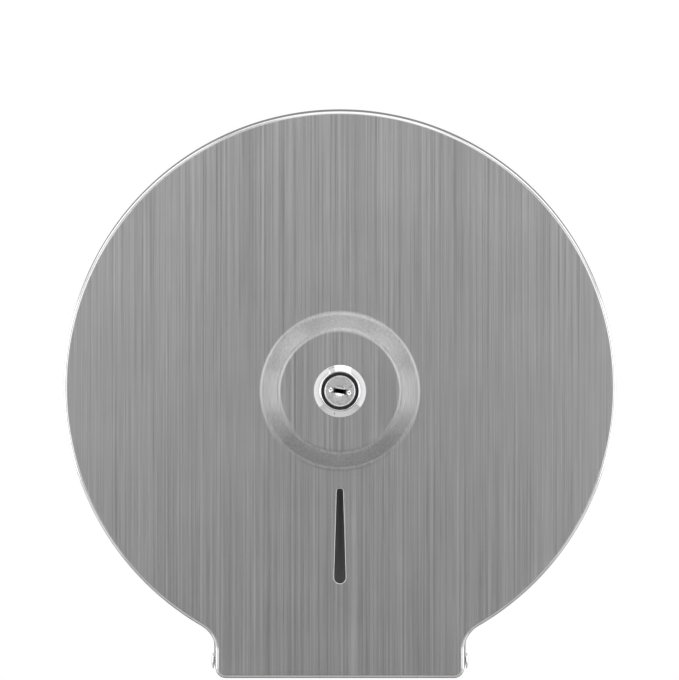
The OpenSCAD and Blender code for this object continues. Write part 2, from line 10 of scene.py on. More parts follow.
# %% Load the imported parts
import bmesh
import bpy
import json
import math
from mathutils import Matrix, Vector


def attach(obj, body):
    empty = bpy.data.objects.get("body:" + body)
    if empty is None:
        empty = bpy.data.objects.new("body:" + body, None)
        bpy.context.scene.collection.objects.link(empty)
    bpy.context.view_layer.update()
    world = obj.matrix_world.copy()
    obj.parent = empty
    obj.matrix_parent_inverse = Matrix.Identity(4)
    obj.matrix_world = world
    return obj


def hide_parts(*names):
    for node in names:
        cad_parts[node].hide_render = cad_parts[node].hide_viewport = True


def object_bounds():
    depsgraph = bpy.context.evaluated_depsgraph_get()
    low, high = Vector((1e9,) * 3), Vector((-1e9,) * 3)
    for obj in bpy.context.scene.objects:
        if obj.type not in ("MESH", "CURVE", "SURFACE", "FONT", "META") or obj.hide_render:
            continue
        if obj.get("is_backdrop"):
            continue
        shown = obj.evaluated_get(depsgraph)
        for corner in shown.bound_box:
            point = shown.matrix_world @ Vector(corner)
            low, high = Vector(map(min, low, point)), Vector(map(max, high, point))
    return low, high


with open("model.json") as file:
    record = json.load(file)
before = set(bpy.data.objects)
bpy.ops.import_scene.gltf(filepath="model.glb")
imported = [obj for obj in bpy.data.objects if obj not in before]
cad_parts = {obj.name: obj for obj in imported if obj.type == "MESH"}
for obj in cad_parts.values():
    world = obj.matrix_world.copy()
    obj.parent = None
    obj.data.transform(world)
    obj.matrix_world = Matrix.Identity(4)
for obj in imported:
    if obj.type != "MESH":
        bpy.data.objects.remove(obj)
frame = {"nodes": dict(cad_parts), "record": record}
nodes = frame["nodes"]
cad_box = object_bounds()

# %% [markdown]
# ## Sizes
#
# Everything is in metres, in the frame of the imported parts: the wall is the plane y = 0, the
# front faces -Y, and the drum's axis passes through the origin. The few driving sizes of the
# cover are written once here, and the sections below work out the rest from them.

# %% Driving sizes
MM = 0.001
NEAR = 1e-6                  # points nearer to each other than this are one point
DRUM_R = 134.9 * MM          # where the side wall meets the rolled edge
SPOUT_HALF = 60.7 * MM
SPOUT_SIDE = 8.39 * MM       # straight side between the neck's curve and the corner's
NECK_R = 14 * MM             # hollow curve between drum and spout
CORNER_R = 5 * MM
NECK_X = SPOUT_HALF + NECK_R
NECK_Z = -math.sqrt((DRUM_R + NECK_R) ** 2 - NECK_X ** 2)
SPOUT_DROP = CORNER_R + SPOUT_SIDE - NECK_Z
FACE_Y = -110 * MM
DRAFT = 1.4 * MM             # growth of the outline towards the open rear edge
EDGE_R = 1.7 * MM            # rolled edge
SHEET = 1.0 * MM
REAR_Y = -2 * MM
LIP = 6 * MM                 # lip turned in under the spout's front
AXIS_Z = -1.9 * MM           # height of the lock's and the spindle's axis
BOSS_FOOT_R, BOSS_TOP_R, BOSS_H = 38 * MM, 30.1 * MM, 8 * MM
BOSS_BLEND = 3.6 * MM        # radius of the bends at the boss's foot and at its top
SLOT_TOP, SLOT_LEN = 49.6 * MM, 46.2 * MM
SLOT_W_TOP, SLOT_W_LOW = 3.0 * MM, 5.5 * MM
PIN_Y, PIN_Z, PIN_R = -9 * MM, -136 * MM, 2.05 * MM
FLAT = 0.4 * MM              # narrow flat ring that keeps a bend's shading off a flat face
print("cover:", round(2 * (DRUM_R + DRAFT) / MM, 1), "mm wide")

# %% [markdown]
# ## Camera and room
#
# The photograph was taken from far away and almost level with the object, so its lines hardly
# converge: a long lens nine metres away gives the same view. The camera sees a white room, and
# metal sees the same room in its reflections. Steel shows where a room is bright and where it is
# not, so this one grows darker towards the front, where the photographer stands, and has one
# narrow dark seam high up. Square softboxes at the sides and the top make the steel brighter
# towards them, and a pale grey floor darkens what faces down.

# %% Camera
VIEW_DISTANCE = 9.0
VIEW_RISE = 0.083            # camera height above the wall screws' centre
FRAME_W = 0.3321             # width of the picture at the cover's face
AIM_X, AIM_Z = -0.0002, 0.0230
SENSOR = 36.0

cam_data = bpy.data.cameras.new("camera")
cam_data.sensor_width = SENSOR
cam_data.lens = SENSOR * VIEW_DISTANCE / FRAME_W
cam_data.clip_start, cam_data.clip_end = 0.1, 40
camera = bpy.data.objects.new("camera", cam_data)
bpy.context.scene.collection.objects.link(camera)
camera.location = (0.0, FACE_Y - VIEW_DISTANCE, VIEW_RISE)
aim = Vector((AIM_X, FACE_Y, AIM_Z)) - camera.location
camera.rotation_euler = aim.to_track_quat("-Z", "Y").to_euler()
bpy.context.scene.camera = camera
bpy.context.scene.view_settings.view_transform = "Standard"
print("lens:", round(cam_data.lens), "mm")

# %% Node helpers
def new_node(tree, kind, **settings):
    """Adds a node and gives it its settings."""
    node = tree.nodes.new(kind)
    for key, value in settings.items():
        setattr(node, key, value)
    return node


def maths(tree, operation, a, b=0.0):
    """Adds a Math node. Each of a and b is a number or a socket."""
    node = new_node(tree, "ShaderNodeMath", operation=operation)
    for i, value in enumerate((a, b)):
        if isinstance(value, (int, float)):
            node.inputs[i].default_value = value
        else:
            tree.links.new(value, node.inputs[i])
    return node.outputs[0]


print("node helpers ready")

# %% World
LIGHT_LEVEL = 0.6            # what the room gives as even light
FRONT_SHADE = 0.8            # how much darker the room looks straight in front
SEAM_AT, SEAM_HALF = math.radians(110), math.radians(7)
SEAM_START, SEAM_SHADE = 0.2, 0.95


def set_world():
    """A white room that looks darker towards the front, and lights at one even level."""
    world = bpy.data.worlds.new("room")
    bpy.context.scene.world = world
    world.use_nodes = True
    tree = world.node_tree
    tree.nodes.clear()
    coords = new_node(tree, "ShaderNodeTexCoord")
    way = new_node(tree, "ShaderNodeSeparateXYZ")
    tree.links.new(coords.outputs["Generated"], way.inputs[0])
    front = maths(tree, "MAXIMUM", maths(tree, "MULTIPLY", way.outputs["Y"], -1.0), 0.0)
    shade = maths(tree, "MULTIPLY", maths(tree, "MULTIPLY", front, front), FRONT_SHADE)
    round_y = maths(tree, "ARCTAN2", way.outputs["Z"], way.outputs["X"])
    off_seam = maths(tree, "ABSOLUTE", maths(tree, "SUBTRACT", round_y, SEAM_AT))
    seam = maths(tree, "LESS_THAN", off_seam, SEAM_HALF)
    seam = maths(tree, "MULTIPLY", seam, maths(tree, "GREATER_THAN", front, SEAM_START))
    shade = maths(tree, "MAXIMUM", shade, maths(tree, "MULTIPLY", seam, SEAM_SHADE))
    look = maths(tree, "SUBTRACT", maths(tree, "SUBTRACT", 1.0, shade), LIGHT_LEVEL)
    path = new_node(tree, "ShaderNodeLightPath")
    seen = maths(tree, "MAXIMUM", path.outputs["Is Camera Ray"], path.outputs["Is Glossy Ray"])
    seen = maths(tree, "MAXIMUM", seen, path.outputs["Is Transmission Ray"])
    strength = maths(tree, "ADD", maths(tree, "MULTIPLY", seen, look), LIGHT_LEVEL)
    background = new_node(tree, "ShaderNodeBackground")
    background.inputs["Color"].default_value = (1, 1, 1, 1)
    tree.links.new(strength, background.inputs["Strength"])
    out = new_node(tree, "ShaderNodeOutputWorld")
    tree.links.new(background.outputs[0], out.inputs["Surface"])


set_world()
print("room: white, darker towards the front")

# %% Lamps
CENTRE = (0, FACE_Y, 0)
PAIRED_LAMPS = (("front", (0.5, -1.0, 0.1), 0.6, 1.6), ("side", (0.6, 0, 0), 0.4, 0.6),
                ("rim", (0.6, 0.2, 0), 0.4, 1.8), ("high", (0.45, 0, 0.45), 0.4, 0.57))
MIDDLE_LAMPS = (("top", (0, -0.6, 0.5), 0.7, 1.1), ("above", (0, 0, 0.6), 0.5, 0.4))


def softbox(name, place, size, power):
    """A square area lamp that looks at the middle of the cover; its size is in metres."""
    data = bpy.data.lights.new(name, "AREA")
    data.shape, data.size, data.energy = "SQUARE", size, power
    lamp = bpy.data.objects.new(name, data)
    bpy.context.scene.collection.objects.link(lamp)
    lamp.location = place
    lamp.rotation_euler = (Vector(CENTRE) - Vector(place)).to_track_quat("-Z", "Y").to_euler()


for side, side_name in ((-1, "left"), (1, "right")):
    for name, (x, y, z), size, power in PAIRED_LAMPS:
        softbox(f"lamp_{name}_{side_name}", (side * x, y, z), size, power)
for name, place, size, power in MIDDLE_LAMPS:
    softbox(f"lamp_{name}", place, size, power)
print("lamps:", 2 * len(PAIRED_LAMPS) + len(MIDDLE_LAMPS))

# %% Floor
FLOOR_Z, FLOOR_SIZE = -0.60, 1.5
FLOOR_GREY, FLOOR_ROUGHNESS = 0.60, 0.9

bpy.ops.object.select_all(action="DESELECT")
bpy.ops.mesh.primitive_plane_add(size=FLOOR_SIZE, location=(0, 0, FLOOR_Z))
floor = bpy.context.active_object
floor.name = "floor"
floor_paint = bpy.data.materials.new("floor_paint")
floor_paint.use_nodes = True
paint = floor_paint.node_tree.nodes["Principled BSDF"]
paint.inputs["Base Color"].default_value = (FLOOR_GREY, FLOOR_GREY, FLOOR_GREY, 1)
paint.inputs["Roughness"].default_value = FLOOR_ROUGHNESS
floor.data.materials.append(floor_paint)
floor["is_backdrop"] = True
print("floor at", FLOOR_Z)

# %% [markdown]
# ## Finishes
#
# Brushed steel is a metal whose surface carries fine parallel scratches. Each scratch is long and
# thin, so a noise stretched along one direction makes them. One node group makes that noise for
# every rolled or brushed part, and gives out a tone and a height. A second group makes what
# handling leaves on metal, which is cloudy smudges and a few hair scratches, and a third makes
# the fine grain of moulded plastic. Each material places the groups with its own values.

# %% Group: brushing
FLOAT, VECTOR = "NodeSocketFloat", "NodeSocketVector"


def new_group(name, inputs, outputs):
    """A shader node group with named sockets, and its two ends."""
    group = bpy.data.node_groups.new(name, "ShaderNodeTree")
    for label, kind in inputs:
        group.interface.new_socket(name=label, in_out="INPUT", socket_type=kind)
    for label, kind in outputs:
        group.interface.new_socket(name=label, in_out="OUTPUT", socket_type=kind)
    return group, group.nodes.new("NodeGroupInput"), group.nodes.new("NodeGroupOutput")


def noise(tree, vector, scale, detail):
    """A 3-D noise on a vector; gives the socket of its 0 to 1 value."""
    node = new_node(tree, "ShaderNodeTexNoise")
    node.inputs["Scale"].default_value = scale
    node.inputs["Detail"].default_value = detail
    tree.links.new(vector, node.inputs["Vector"])
    return node.outputs["Fac"]


def ramp(tree, value, low, high, start, end):
    """Maps low..high to start..end, and stays within them."""
    node = new_node(tree, "ShaderNodeMapRange")
    for label, number in zip(("From Min", "From Max", "To Min", "To Max"), (low, high, start, end)):
        node.inputs[label].default_value = number
    tree.links.new(value, node.inputs["Value"])
    return node.outputs[0]


brushing, ends_in, ends_out = new_group(
    "brushing", [("Long", VECTOR), ("Short", VECTOR)], [("Tone", FLOAT), ("Height", FLOAT)])
long_lines, short_lines = ends_in.outputs["Long"], ends_in.outputs["Short"]
tone = None
for vector, scale, share in ((long_lines, 1400, 0.50), (long_lines, 700, 0.24),
                             (short_lines, 1700, 0.26)):
    layer = maths(brushing, "MULTIPLY", noise(brushing, vector, scale, 1), share)
    tone = layer if tone is None else maths(brushing, "ADD", tone, layer)
brushing.links.new(tone, ends_out.inputs["Tone"])
brushing.links.new(noise(brushing, long_lines, 3600, 1), ends_out.inputs["Height"])
print("group:", brushing.name)

# %% Group: handling marks
handling, ends_in, ends_out = new_group(
    "handling_marks", [("Place", VECTOR)], [("Smudge", FLOAT), ("Scratch", FLOAT)])
cloud = noise(handling, ends_in.outputs[0], 28, 4)
handling.links.new(ramp(handling, cloud, 0.45, 0.7, 0.0, 1.0), ends_out.inputs["Smudge"])
scratches = None
for turn, shift in ((0.5, 3.0), (-0.8, 11.0)):       # the scratches run in two directions
    lay = new_node(handling, "ShaderNodeMapping")
    lay.inputs["Location"].default_value = (shift, shift, shift)
    lay.inputs["Rotation"].default_value = (turn, turn, turn)
    lay.inputs["Scale"].default_value = (1, 1, 0.03)
    handling.links.new(ends_in.outputs[0], lay.inputs["Vector"])
    hair = ramp(handling, noise(handling, lay.outputs[0], 700, 0), 0.74, 0.80, 0.0, 1.0)
    scratches = hair if scratches is None else maths(handling, "MAXIMUM", scratches, hair)
handling.links.new(scratches, ends_out.inputs["Scratch"])
print("group:", handling.name)

# %% Group: moulded grain
grain, ends_in, ends_out = new_group(
    "moulded_grain", [("Place", VECTOR)], [("Tone", FLOAT), ("Height", FLOAT)])
speck = noise(grain, ends_in.outputs[0], 3200, 2)
flow = noise(grain, ends_in.outputs[0], 45, 2)
grain.links.new(flow, ends_out.inputs["Tone"])
grain.links.new(speck, ends_out.inputs["Height"])
print("group:", grain.name)

# %% Helpers for materials
LINES_LOW, LINES_HIGH = 0.35, 0.65      # most of the brushing's tone lies between these
GRAIN_LOW, GRAIN_HIGH = 0.3, 0.7        # and most of the moulded grain's between these
BUMP_DISTANCE = 0.0001


def placed(tree, scale=(1, 1, 1)):
    """Object coordinates, scaled."""
    coords = new_node(tree, "ShaderNodeTexCoord")
    lay = new_node(tree, "ShaderNodeMapping")
    lay.inputs["Scale"].default_value = scale
    tree.links.new(coords.outputs["Object"], lay.inputs["Vector"])
    return lay.outputs[0]


def use_group(tree, group, *vectors):
    """Places a node group and feeds its inputs."""
    node = new_node(tree, "ShaderNodeGroup", node_tree=group)
    for vector, socket in zip(vectors, node.inputs):
        tree.links.new(vector, socket)
    return node


def brushed(tree, lay):
    """Places the brushing group. The lay is the stretch along X, Y and Z; short lines get less."""
    short = tuple(min(1.0, 5 * part) for part in lay)
    return use_group(tree, brushing, placed(tree, lay), placed(tree, short))


def tinted(tree, value, tint):
    """A colour from one value, times a tint."""
    node = new_node(tree, "ShaderNodeCombineColor")
    for i in range(3):
        tree.links.new(maths(tree, "MULTIPLY", value, tint[i]), node.inputs[i])
    return node.outputs[0]


def add_bump(tree, shader, height, strength):
    """Feeds a height to the shader's normal through a Bump node."""
    bump = new_node(tree, "ShaderNodeBump")
    bump.inputs["Strength"].default_value = strength
    bump.inputs["Distance"].default_value = BUMP_DISTANCE
    tree.links.new(height, bump.inputs["Height"])
    tree.links.new(bump.outputs[0], shader.inputs["Normal"])


def blank(name, metallic, edge_tint=1.0):
    """A new material; gives it, its tree and its Principled shader."""
    material = bpy.data.materials.new(name)
    material.use_nodes = True
    shader = material.node_tree.nodes["Principled BSDF"]
    shader.inputs["Metallic"].default_value = metallic
    shader.inputs["Specular Tint"].default_value = (edge_tint, edge_tint, edge_tint, 1)
    return material, material.node_tree, shader


def metal(name, tint, roughness, lay, contrast, bump, marks=0.05, edge_tint=0.8):
    """A metal with a lay: its tint, its least and most roughness, and its stretch."""
    material, tree, shader = blank(name, 1.0, edge_tint)
    lines = brushed(tree, lay)
    worn = use_group(tree, handling, placed(tree))
    tone = ramp(tree, lines.outputs["Tone"], LINES_LOW, LINES_HIGH, 1 - contrast, 1 + contrast)
    tone = maths(tree, "ADD", tone, maths(tree, "MULTIPLY", worn.outputs["Scratch"], marks))
    tree.links.new(tinted(tree, tone, tint), shader.inputs["Base Color"])
    rough = ramp(tree, lines.outputs["Tone"], LINES_LOW, LINES_HIGH, *roughness)
    rough = maths(tree, "ADD", rough, maths(tree, "MULTIPLY", worn.outputs["Smudge"], marks))
    tree.links.new(rough, shader.inputs["Roughness"])
    add_bump(tree, shader, lines.outputs["Height"], bump)
    return material


print("helpers ready")

# %% [markdown]
# The cover is brushed upright on its face and round the drum on its side wall, so one material
# blends the two lays by the way that the surface faces. The side wall's base colour is darker than
# the face's: painted shade, standing in for the dark reflection that the wall shows. Steel seen at
# a grazing angle reflects less than a clean mirror does, and the Specular Tint of a metal sets
# that edge. The rolled edge and the slot's edge are worn smooth by the press, so they get a
# smoother, polished steel; its lighter colour, put only on bends that face up or sideways, is a
# painted highlight.

# %% Cover steel
# The side wall's darker tone is painted shade, standing in for the dark reflection on the wall.
COVER_TONE, WALL_TONE_PAINTED_SHADE = 0.45, 0.26
COVER_TINT = (1.0, 1.0, 1.003)
COVER_CONTRAST, COVER_BUMP, COVER_SMUDGES = 0.14, 0.10, 0.02
COVER_ROUGHNESS, WALL_ROUGHER = (0.32, 0.40), 0.15
EDGE_TINT = 0.3


def cover_material():
    """Upright brushing on the face, brushing round the drum on the side wall, and a darker side
    wall colour that is painted shade.
    """
    material, tree, shader = blank("cover_steel", 1.0, EDGE_TINT)
    coords = new_node(tree, "ShaderNodeTexCoord")
    split = new_node(tree, "ShaderNodeSeparateXYZ")
    tree.links.new(coords.outputs["Normal"], split.inputs[0])
    facing = ramp(tree, maths(tree, "ABSOLUTE", split.outputs["Y"]), 0.3, 0.6, 0.0, 1.0)
    face = brushed(tree, (1.0, 1.0, 0.003))
    wall = brushed(tree, (0.02, 1.0, 0.02))
    worn = use_group(tree, handling, placed(tree))
    mixed = {}
    for label in ("Tone", "Height"):
        mix = new_node(tree, "ShaderNodeMix")
        tree.links.new(facing, mix.inputs[0])
        tree.links.new(wall.outputs[label], mix.inputs[2])
        tree.links.new(face.outputs[label], mix.inputs[3])
        mixed[label] = mix.outputs[0]
    # painted shade: the side wall's base colour is darker than the face's
    level = ramp(tree, facing, 0.0, 1.0, WALL_TONE_PAINTED_SHADE, COVER_TONE)
    lines = ramp(tree, mixed["Tone"], LINES_LOW, LINES_HIGH, 1 - COVER_CONTRAST, 1 + COVER_CONTRAST)
    tone = maths(tree, "MULTIPLY", level, lines)
    tree.links.new(tinted(tree, tone, COVER_TINT), shader.inputs["Base Color"])
    rough = ramp(tree, mixed["Tone"], LINES_LOW, LINES_HIGH, *COVER_ROUGHNESS)
    rough = maths(tree, "ADD", rough, ramp(tree, facing, 0.0, 1.0, WALL_ROUGHER, 0.0))
    smudges = maths(tree, "MULTIPLY", worn.outputs["Smudge"], COVER_SMUDGES)
    tree.links.new(maths(tree, "ADD", rough, smudges), shader.inputs["Roughness"])
    add_bump(tree, shader, mixed["Height"], COVER_BUMP)
    return material


cover_steel = cover_material()
print("material:", cover_steel.name)

# %% Other metals
# The rim steel's lighter colour is a painted highlight on the cover's bends; its lower roughness is
# a real polish.
rim_steel_painted_highlight = metal("rim_steel_painted_highlight", (0.74, 0.74, 0.745), (0.12, 0.20), (0.1, 1, 0.1), 0.04, 0.03,
                  edge_tint=EDGE_TINT)
plate_steel = metal("plate_steel", (0.52, 0.52, 0.53), (0.36, 0.46), (1, 1, 0.02), 0.06, 0.08)
bracket_steel = metal("bracket_steel", (0.58, 0.58, 0.585), (0.28, 0.36), (1, 0.03, 1), 0.06, 0.06)
rivet_steel = metal("rivet_steel", (0.68, 0.68, 0.69), (0.16, 0.24), (1, 1, 1), 0.04, 0.03)
spring_steel = metal("spring_steel", (0.32, 0.32, 0.33), (0.30, 0.40), (0.1, 1, 0.1), 0.08, 0.05)
zinc_steel = metal("zinc_steel", (0.64, 0.655, 0.67), (0.22, 0.32), (0.3, 1, 0.3), 0.10, 0.05)
chrome = metal("lock_chrome", (0.88, 0.88, 0.89), (0.04, 0.07), (0.2, 1, 0.2), 0.01, 0.01,
               marks=0.03, edge_tint=0.4)
satin_nickel = metal("lock_satin", (0.84, 0.84, 0.845), (0.24, 0.32), (1, 1, 1), 0.05, 0.05)
# The wafers are brass, but their colour is far darker than brass: painted shade deep in the
# keyhole.
wafer_brass = metal("wafer_brass", (0.05, 0.034, 0.013), (0.22, 0.34), (1, 1, 0.1), 0.08, 0.06)
# A near-black metal that paints shade into the lock's groove and keyhole.
painted_shade_dark_metal = metal("painted_shade_metal", (0.06, 0.06, 0.062), (0.45, 0.60), (1, 1, 1), 0.2, 0.1)
print("metals: 10")

# %% Plastics
def plastic(name, colour, roughness, variation, bump):
    """A moulded plastic: flow lines shift its tone a little, and grain roughens it."""
    material, tree, shader = blank(name, 0.0)
    texture = use_group(tree, grain, placed(tree))
    tone = ramp(tree, texture.outputs["Tone"], GRAIN_LOW, GRAIN_HIGH, 1 - variation, 1 + variation)
    tree.links.new(tinted(tree, tone, colour), shader.inputs["Base Color"])
    rough = ramp(tree, texture.outputs["Height"], GRAIN_LOW, GRAIN_HIGH, *roughness)
    tree.links.new(rough, shader.inputs["Roughness"])
    add_bump(tree, shader, texture.outputs["Height"], bump)
    return material


grey_plastic = plastic("grey_plastic", (0.030, 0.032, 0.037), (0.38, 0.52), 0.06, 0.35)
white_nylon = plastic("white_nylon", (0.70, 0.70, 0.66), (0.40, 0.48), 0.02, 0.08)
print("plastics: 2")

# %% [markdown]
# ## Front cover
#
# The real cover is one sheet of steel: its outline is drawn, the side wall is pressed with a
# little draft, the edge round the face is rolled, and the boss is pressed out of the face. It
# could be carved out of a solid with booleans, but a sheet is easier to shape as a sheet. So the
# outline is drawn from one vertex with extrude and spin, the walls and the rolled edge grow from
# it with inset, the boss is spun, and Solidify gives the steel its thickness at the end.

# %% Tools for drawing a sheet
def begin(name, place):
    """Starts a mesh of one vertex and stays in edit mode."""
    bpy.ops.object.select_all(action="DESELECT")
    bpy.ops.mesh.primitive_plane_add(size=MM, location=(0, 0, 0))
    obj = bpy.context.active_object
    obj.name = obj.data.name = name
    bpy.ops.object.mode_set(mode="EDIT")
    bpy.ops.mesh.select_mode(type="VERT")
    bpy.ops.mesh.select_all(action="SELECT")
    bpy.ops.mesh.merge(type="CENTER")
    bpy.ops.transform.translate(value=place)
    return obj


def line_to(obj, place):
    """Extrudes the selected vertex to a place."""
    mesh = bmesh.from_edit_mesh(obj.data)
    here = next(v.co.copy() for v in mesh.verts if v.select)
    step = Vector(place) - here
    bpy.ops.mesh.extrude_region_move(TRANSFORM_OT_translate={"value": step})


def arc_about(centre, degrees, steps, axis=(0, -1, 0)):
    """Spins what is selected, anticlockwise as seen from the axis's tip."""
    bpy.ops.mesh.spin(steps=steps, angle=-math.radians(degrees), center=centre, axis=axis)


def merge_near(distance=NEAR):
    """In edit mode, selects everything and merges the points that lie together."""
    bpy.ops.mesh.select_all(action="SELECT")
    bpy.ops.mesh.remove_doubles(threshold=distance)


def face_forwards(obj):
    """Fills the selected outline with one face that looks at the viewer."""
    bpy.ops.mesh.edge_face_add()
    mesh = bmesh.from_edit_mesh(obj.data)
    mesh.faces.ensure_lookup_table()
    if mesh.faces[0].normal.y > 0:
        bpy.ops.mesh.flip_normals()


def select(obj, kind, test):
    """In edit mode, selects only the vertices, edges or faces that pass a test."""
    bpy.ops.mesh.select_mode(type=kind)
    bpy.ops.mesh.select_all(action="DESELECT")
    mesh = bmesh.from_edit_mesh(obj.data)
    every = {"VERT": mesh.verts, "EDGE": mesh.edges, "FACE": mesh.faces}[kind]
    items = [item for item in every if test(item)]
    for item in items:
        item.select_set(True)
    bmesh.update_edit_mesh(obj.data)
    return len(items)


def apply(obj, kind, **settings):
    """In object mode, adds a modifier to a mesh and applies it at once."""
    bpy.context.view_layer.objects.active = obj
    modifier = obj.modifiers.new(kind, kind)
    for key, value in settings.items():
        setattr(modifier, key, value)
    bpy.ops.object.modifier_apply(modifier=modifier.name)


print("drawing tools ready")

# %% Outline of the cover
NECK_ANGLE = math.degrees(math.atan2(-NECK_Z, NECK_X))
DRUM_STEPS, NECK_STEPS, CORNER_STEPS = 120, 14, 10

cover = begin("front_cover_sheet", (0, REAR_Y, -SPOUT_DROP - DRAFT))
corner_x, corner_z = SPOUT_HALF - CORNER_R, CORNER_R - SPOUT_DROP
line_to(cover, (corner_x, REAR_Y, -SPOUT_DROP - DRAFT))
arc_about((corner_x, REAR_Y, corner_z), 90, CORNER_STEPS)
line_to(cover, (SPOUT_HALF + DRAFT, REAR_Y, NECK_Z))
arc_about((NECK_X, REAR_Y, NECK_Z), -NECK_ANGLE, NECK_STEPS)
arc_about((0, REAR_Y, 0), 90 + NECK_ANGLE, DRUM_STEPS)
bpy.ops.object.mode_set(mode="OBJECT")
apply(cover, "MIRROR", use_axis=(True, False, False), merge_threshold=1e-5)
bpy.ops.object.mode_set(mode="EDIT")
merge_near()
print("outline:", len(cover.data.vertices), "points before the walls")

# %% Walls, rolled edge and flat ring
WALL_FRONT = FACE_Y + EDGE_R
LIP_Y = FACE_Y + LIP
EDGE_STEPS = 8


def grown(y):
    """How much wider the outline is at y than at the rolled edge."""
    return DRAFT * (y - WALL_FRONT) / (REAR_Y - WALL_FRONT)


face_forwards(cover)
bpy.ops.mesh.inset(thickness=grown(REAR_Y) - grown(LIP_Y), depth=REAR_Y - LIP_Y)
bpy.ops.mesh.inset(thickness=grown(LIP_Y), depth=LIP_Y - WALL_FRONT)
for i in range(EDGE_STEPS):
    a, b = (math.radians(90 * k / EDGE_STEPS) for k in (i, i + 1))
    bpy.ops.mesh.inset(thickness=EDGE_R * (math.cos(a) - math.cos(b)),
                       depth=EDGE_R * (math.sin(b) - math.sin(a)))
bpy.ops.mesh.inset(thickness=FLAT, depth=0)
bpy.ops.mesh.delete(type="ONLY_FACE")
bpy.ops.object.mode_set(mode="OBJECT")
print("skin:", [round(v / MM, 2) for v in cover.dimensions])

# %% [markdown]
# The boss is a shallow truncated cone with a hollow blend at its foot and a rounded top edge.
# Its profile is drawn from the foot to the lock's hole and spun once round the lock's axis.

# %% Boss
BOSS_STEPS, BOSS_SEGMENTS = 10, 144
HOLE_R = 9.6 * MM
slope = math.atan2(BOSS_H, BOSS_FOOT_R - BOSS_TOP_R)
foot_r = BOSS_FOOT_R + BOSS_BLEND * math.tan(slope / 2)
top_r = BOSS_TOP_R - BOSS_BLEND * math.tan(slope / 2)
top_y = FACE_Y - BOSS_H

boss = begin("boss_sheet", (foot_r + FLAT, FACE_Y, AXIS_Z))
line_to(boss, (foot_r, FACE_Y, AXIS_Z))
arc_about((foot_r, FACE_Y - BOSS_BLEND, AXIS_Z), math.degrees(slope), BOSS_STEPS, (0, 0, 1))
line_to(boss, (top_r + BOSS_BLEND * math.sin(slope),
               top_y + BOSS_BLEND * (1 - math.cos(slope)), AXIS_Z))
arc_about((top_r, top_y + BOSS_BLEND, AXIS_Z), -math.degrees(slope), BOSS_STEPS, (0, 0, 1))
line_to(boss, (top_r - FLAT, top_y, AXIS_Z))
line_to(boss, (HOLE_R, top_y, AXIS_Z))
bpy.ops.mesh.select_all(action="SELECT")
arc_about((0, 0, AXIS_Z), 360, BOSS_SEGMENTS)
merge_near()
bpy.ops.object.mode_set(mode="OBJECT")
print("boss:", [round(v / MM, 2) for v in boss.dimensions])

# %% [markdown]
# The view slot tapers upwards, so that a glance tells how much paper is left. Its outline is two
# arcs and two straight sides, and three insets that go deeper each time press its edge inwards.

# %% View slot
SLOT_EDGE = 0.5 * MM         # width of the pressed edge round the slot
SLOT_PRESS = ((0.18, -0.03), (0.17, -0.12), (0.15, -0.25))      # width and depth in mm
half_top, half_low = SLOT_W_TOP / 2 + SLOT_EDGE, SLOT_W_LOW / 2 + SLOT_EDGE
slot_z1 = -SLOT_TOP - SLOT_W_TOP / 2
slot_z2 = -SLOT_TOP - SLOT_LEN + SLOT_W_LOW / 2

slot = begin("slot_sheet", (half_top, FACE_Y, slot_z1))
arc_about((0, FACE_Y, slot_z1), 180, 16)
line_to(slot, (-half_low, FACE_Y, slot_z2))
arc_about((0, FACE_Y, slot_z2), 180, 20)
line_to(slot, (half_top, FACE_Y, slot_z1))
merge_near()
face_forwards(slot)
for thickness, depth in SLOT_PRESS:
    bpy.ops.mesh.inset(thickness=thickness * MM, depth=depth * MM)
bpy.ops.mesh.delete(type="ONLY_FACE")
bpy.ops.object.mode_set(mode="OBJECT")
print("slot:", [round(v / MM, 2) for v in slot.dimensions])

# %% [markdown]
# The rim, the boss and the slot are three open rings in one plane. Once they are one mesh, Fill
# closes the flat face between their open edges.

# %% Join the sheet and fill its face
def open_edge_on(y):
    """A test for edges on the plane across Y at y that bound one face or none."""
    return lambda edge: (len(edge.link_faces) < 2
                         and all(abs(v.co.y - y) < NEAR for v in edge.verts))


bpy.ops.object.select_all(action="DESELECT")
for part in (boss, slot, cover):
    part.select_set(True)
bpy.context.view_layer.objects.active = cover
bpy.ops.object.join()
bpy.ops.object.mode_set(mode="EDIT")
edges = select(cover, "EDGE", open_edge_on(FACE_Y))
bpy.ops.mesh.fill(use_beauty=True)
bpy.ops.mesh.select_all(action="SELECT")
bpy.ops.mesh.normals_make_consistent(inside=False)
mesh = bmesh.from_edit_mesh(cover.data)
if sum(f.normal.y * f.calc_area() for f in mesh.faces) > 0:
    bpy.ops.mesh.flip_normals()
print("filled between", edges, "edges")

# %% [markdown]
# The bottom of the spout is open behind the front lip, so that the paper can hang out. The skin
# has a row of faces there that ends at the lip, and these are simply deleted. Then the sheet
# gets its thickness. One cutter trims what is left of the bottom corners, which would hit the
# hinge brackets when the cover opens, and two more shape the corners that swing past the wall
# and the holes for the hinge pins.

# %% Paper exit and thickness
EXIT_Z = -141.2 * MM         # the side walls' lower edges are just above this height
count = select(cover, "FACE", lambda f: f.calc_center_median().z < EXIT_Z
               and f.calc_center_median().y > LIP_Y)
bpy.ops.mesh.delete(type="FACE")
bpy.ops.object.mode_set(mode="OBJECT")
apply(cover, "SOLIDIFY", thickness=SHEET, offset=-1, use_even_offset=True,
      use_quality_normals=True)
print("exit: took out", count, "faces; sheet has", len(cover.data.polygons))

# %% Cutters
CUT_HALF = 70 * MM           # a cutter that reaches this far out clears the spout's sides


